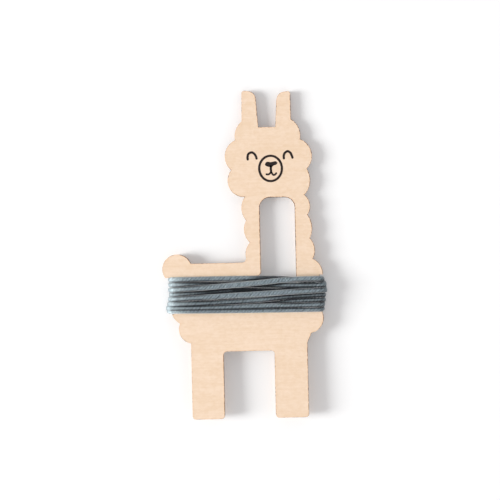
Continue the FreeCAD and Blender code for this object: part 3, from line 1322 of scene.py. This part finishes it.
@dataclass
class WoolYarn:
    """The yarn: turn after turn round the waist, with one turn lying across two others at the front.

    The runs and the waves' lengths are in millimetres.
    """

    UV = "strand"
    # Masks of painted shade: where other turns lie beside the yarn, and where they lie over it.
    BESIDE = "beside"
    SUNK = "sunk"
    # Mask of a painted highlight towards the yarn's left end.
    PAINTED_HIGHLIGHT = "painted_highlight"

    waist_width: float = 56.8 * MM
    waist_column: float = 9.0 * MM
    plate: float = 3.0 * MM
    diameter: float = 1.5 * MM
    clearance: float = 0.2 * MM
    end_inset: float = 1.0 * MM
    start_rise: float = 0.6 * MM
    back_lift: float = 0.07 * MM
    back_slope_left: float = 0.3
    end_drop: float = 1.2 * MM
    runs: tuple[Run, ...] = (
        Run(
            Side(52.1, 0.0, 0.3),
            Side(54.35, 0.0, 0.4),
            ((20.0, 53.2, 0.2), (13.0, 54.0, -0.4), (-2.0, 54.3, -0.3)),
        ),
        Run(
            Side(51.1, 0.9, 1.0),
            Side(52.4, 0.1, 0.4),
            ((10.0, 51.2, -0.4), (-4.0, 51.8, -1.0), (-16.0, 52.4, -0.2)),
        ),
        Run(
            Side(53.6, 1.0, 0.2),
            Side(50.35, 0.3, 0.5),
            ((17.0, 53.6, 1.1), (4.0, 52.4, 1.1), (-8.0, 51.5, 1.0)),
        ),
        Run(
            Side(50.1, 0.0, 1.0),
            Side(48.5, -0.05, 0.2),
            ((19.5, 50.1, 0.3), (9.0, 50.0, -1.8), (-8.0, 49.6, -2.0), (-18.0, 48.9, -0.2)),
        ),
        Run(Side(49.2, 1.2, 1.2), Side(46.75, 0.5, 0.6), ((0.0, 48.0, 0.8),)),
        Run(
            Side(47.3, 0.4, 0.7),
            Side(44.85, 1.1, 0.9),
            ((17.0, 46.8, -0.2), (0.0, 45.4, -0.6), (-18.0, 44.9, 0.4)),
        ),
        Run(
            Side(45.45, 0.0, 0.6),
            Side(45.5, -0.05, 0.3),
            ((18.0, 45.2, -0.1), (7.0, 44.6, -1.6), (-4.0, 44.6, -2.0), (-17.0, 45.6, -0.1)),
        ),
        Run(Side(43.5, 0.6, 0.3), Side(43.4, 0.6, 1.4), ((18.0, 43.4, 0.3), (-18.0, 43.25, 0.5))),
        Run(Side(41.7, 0.0, 0.1), Side(42.25, 0.0, 1.2), ((0.0, 41.85, 0.0),)),
    )
    spline_order: int = 3
    spline_steps: int = 24
    step: float = 0.5 * MM
    plies: int = 4
    pitch: float = 5.6 * MM
    wide: float = 0.99 * MM
    thick: float = 0.8 * MM
    ply_radius: float = 0.45 * MM
    ply_shape: Span = (0.92, 1.08)
    core: Span = (1.02 * MM, 0.5 * MM)
    sides: int = 8
    uneven: float = 0.06
    straying: float = 0.2
    waves: int = 6
    wave_lengths: Span = (6, 40)
    wave_height: float = 2.4
    # How far in from the left end the painted highlight reaches and how fast it fades, and how much the bends
    # and the highlight lessen the painted shade.
    highlight_reach: float = 18.0 * MM
    highlight_fade: int = 3
    bend_clears_shade: float = 0.5
    highlight_clears_shade: float = 0.45
    fibre_rate: float = 3.0
    ply_offset: float = 7.31
    seed: int = 5
    finish: Wool = field(default_factory=lambda: Wool("Slate-blue wool"))
    loose: LooseFibres = field(default_factory=LooseFibres)

    def route(self, origin: Vector) -> list[Vector]:
        """The points that the yarn's smooth line is drawn from.

        Args:
            origin: The point below the waist's middle at the feet, on the plate's back face.

        Returns:
            The points, in metres.
        """
        standoff = self.diameter / 2 + self.clearance
        left, right = -self.waist_width / 2 - standoff, self.waist_width / 2 + standoff
        behind, front = self.back_lift - standoff, self.plate + standoff
        depth = front - behind
        end_length = standoff + self.waist_column - self.end_inset
        top = self.runs[0].right.height * MM + self.start_rise
        points = [Vector((right - end_length, top, behind)), Vector((right - depth, top, behind))]
        for number, run in enumerate(self.runs):
            out, back = right + run.right.bow * MM, left - run.left.bow * MM
            start = Vector((out, run.right.height * MM, front + run.right.lift * MM))
            end = Vector((back, run.left.height * MM, front + run.left.lift * MM))
            knees = [Vector((x * MM, y * MM, front + lift * MM)) for x, y, lift in run.knees]
            points += [Vector((out, points[-1].y, behind)), start]
            points.append(start + (knees[0] - start).normalized() * depth)
            points += knees
            points.append(end + (knees[-1] - end).normalized() * depth)
            points += [end, Vector((back, end.y, behind)), Vector((left + depth, end.y, behind))]
            if number < len(self.runs) - 1:
                ahead = self.runs[number + 1].right.height * MM
                slope = self.back_slope_left * (end.y - ahead)
                points.append(Vector((right - depth, ahead + slope, behind)))
        points.append(Vector((left + end_length, points[-1].y - self.end_drop, behind)))
        return [origin + point for point in points]

    def line(self, points: list[Vector]) -> np.ndarray:
        """The smooth line that the points pull, in equal steps.

        Args:
            points: The control points.

        Returns:
            Its samples, one row each.
        """
        data = bpy.data.curves.new("yarn_line", "CURVE")
        data.dimensions = "3D"
        spline = data.splines.new("NURBS")
        spline.points.add(len(points) - 1)
        for point, place in zip(spline.points, points):
            point.co = (*place, 1.0)
        spline.order_u = self.spline_order
        spline.use_endpoint_u = True
        spline.resolution_u = self.spline_steps
        holder = bpy.data.objects.new("yarn_line", data)
        mesh = bpy.data.meshes.new_from_object(holder)
        drawn = np.array([vertex.co for vertex in mesh.vertices])
        bpy.data.objects.remove(holder)
        bpy.data.curves.remove(data)
        bpy.data.meshes.remove(mesh)
        reach = np.concatenate([[0], np.cumsum(np.linalg.norm(np.diff(drawn, axis=0), axis=1))])
        even = np.linspace(0, reach[-1], round(reach[-1] / self.step) + 1)
        return np.stack([np.interp(even, reach, drawn[:, axis]) for axis in range(3)], 1)

    def wander(self, run: np.ndarray, chance: np.random.Generator) -> np.ndarray:
        """A slow, uneven wave along the yarn, about 1 high.

        Args:
            run: How far along the yarn each sample lies.
            chance: Where the waves' lengths and places come from.

        Returns:
            The wave at each sample.
        """
        wave = np.zeros(len(run))
        for _ in range(self.waves):
            length = chance.uniform(*self.wave_lengths) * MM
            wave += np.sin(FULL_TURN * run / length + chance.uniform(0, FULL_TURN))
        return wave / self.wave_height

    def strands(self, line: np.ndarray, run: np.ndarray) -> list[np.ndarray]:
        """Twists the plies round the line, and lays a flat core inside them.

        Args:
            line: The yarn's samples.
            run: How far along the yarn each lies.

        Returns:
            The rows of corners, one per side of each ply and of the core.
        """
        chance = np.random.default_rng(self.seed)
        _, across, out = frames(line)
        angles = [FULL_TURN * side / self.sides for side in range(self.sides)]
        swell = 1 + self.uneven * self.wander(run, chance)
        rows = []
        for ply in range(self.plies):
            turn = -FULL_TURN * run / self.pitch + FULL_TURN * ply / self.plies
            turn += self.straying * self.wander(run, chance)
            size = self.ply_radius * (1 + self.uneven * self.wander(run, chance))
            spin = across * (np.cos(turn) * swell * (self.wide - self.ply_radius))[:, None]
            spin += out * (np.sin(turn) * (self.thick - self.ply_radius))[:, None]
            centre = line + spin
            ahead = unit(np.gradient(centre, axis=0))
            radial = unit(spin - ahead * np.sum(spin * ahead, axis=1, keepdims=True)) * self.ply_shape[0]
            sideways = np.cross(ahead, radial / self.ply_shape[0]) * self.ply_shape[1]
            for angle in angles:
                rows.append(centre + (radial * math.cos(angle) + sideways * math.sin(angle)) * size[:, None])
        wide, thick = self.core
        for angle in angles:
            rows.append(line + across * math.cos(angle) * wide + out * math.sin(angle) * thick)
        return rows

    def plies_mesh(self, line: np.ndarray) -> bpy.types.Mesh:
        """The twisted yarn, with the masks of painted shade and painted highlight that its wool reads at each
        corner.

        Args:
            line: The yarn's samples.

        Returns:
            The mesh of all plies.
        """
        run = np.arange(len(line)) * self.step
        rows = self.strands(line, run)
        faces = [face for ply in range(self.plies + 1) for face in self.tube_faces(ply, len(line))]
        mesh = new_mesh("wool_yarn", np.vstack(rows).tolist(), faces)
        _, across, out = frames(line)
        # Painted highlight: a mask strongest at the yarn's left end, towards the lamp, fading to the right
        # over the highlight reach.
        from_left = np.clip(1 - (line[:, 0] - line[:, 0].min()) / self.highlight_reach, 0, 1)
        painted_highlight = from_left**self.highlight_fade * np.clip(-out[:, 2], 0, 1)
        # Painted shade is lessened where the yarn bends round the edges and where the painted highlight lies.
        shade_allowed = np.clip(1 - self.bend_clears_shade * (1 - out[:, 2] ** 2) - self.highlight_clears_shade * painted_highlight, 0, 1)
        above, below, sunk = Crowding(self.diameter).shares(line, run, across) * shade_allowed
        places = [np.sum((row - line) * across, axis=1) / self.wide for row in rows]
        beside = [np.clip(place, 0, None) * above - np.clip(place, None, 0) * below for place in places]
        carry(mesh, self.BESIDE, np.concatenate(beside))
        carry(mesh, self.SUNK, np.tile(sunk, len(rows)))
        carry(mesh, self.PAINTED_HIGHLIGHT, np.tile(painted_highlight, len(rows)))
        self.unwrap(mesh, len(line))
        mesh.shade_smooth()
        return mesh

    def tube_faces(self, ply: int, count: int) -> list[tuple[int, ...]]:
        """The faces of one ply, whose rows of corners lie one after another.

        Args:
            ply: The ply's number.
            count: The corners in a row.

        Returns:
            The corners of each face.
        """
        rows = [range(n * count, (n + 1) * count) for n in range(ply * self.sides, (ply + 1) * self.sides)]
        walls = [face for pair in zip(rows, rows[1:] + rows[:1]) for face in bridge(*pair, closed=False)]
        return walls + [tuple(row[0] for row in rows), tuple(row[-1] for row in reversed(rows))]

    def unwrap(self, mesh: bpy.types.Mesh, count: int) -> None:
        """Lays each ply out flat: round it by its sides, and along it in pitches.

        Args:
            mesh: The plies' mesh.
            count: The corners in a row.
        """
        row, place = np.divmod(np.arange(len(mesh.vertices)), count)
        ahead = place * self.step / self.pitch * self.fibre_rate + (row // self.sides) * self.ply_offset
        lay_out(mesh, self.UV, np.stack([(row % self.sides) / self.sides, ahead], 1))
        for polygon in mesh.polygons:
            if polygon.loop_total == 4:
                corners = [mesh.uv_layers[self.UV].data[n] for n in polygon.loop_indices]
                if max(corner.uv.x for corner in corners) - min(corner.uv.x for corner in corners) > 0.5:
                    for corner in corners:
                        corner.uv.x += float(corner.uv.x < 0.5)

    def build(self, origin: Vector) -> None:
        """Winds the yarn and gives it its loose fibres.

        Args:
            origin: The point below the waist's middle at the feet, on the plate's back face.
        """
        line = self.line(self.route(origin))
        length = float(np.linalg.norm(np.diff(line, axis=0), axis=1).sum()) / MM
        low, high = line[:, 2].min() / MM, line[:, 2].max() / MM
        LOG.info("yarn line: %.1f mm, z %.2f to %.2f mm", length, low, high)
        yarn = add_piece("wool_yarn", self.plies_mesh(line), self.finish)
        fuzz = add_piece("wool_fuzz", self.loose.mesh(self, line), self.loose.finish)
        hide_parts(Piece.YARN.value)


def main() -> None:
    """Loads the model, sets up the studio, and dresses the yarn and the plate."""
    logging.basicConfig(level=logging.INFO, format="%(message)s")
    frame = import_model()
    Camera().build()
    plate_low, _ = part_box(Piece.BACK.value)
    _, plate_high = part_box(Piece.FRONT.value)
    yarn_low, yarn_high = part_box(Piece.YARN.value)
    yarn = WoolYarn()
    middle = yarn_low.x + yarn.diameter + yarn.clearance + yarn.waist_width / 2
    origin = Vector((middle, plate_low.y, plate_low.z))
    yarn.build(origin)
    PlywoodPlate().build(frame["nodes"])
    Face().build(origin, plate_high.z)
    Studio().build(Vector((0, yarn_high.y, yarn_low.z)), Vector((0, plate_high.y, plate_low.z)))


if __name__ == "__main__":
    main()
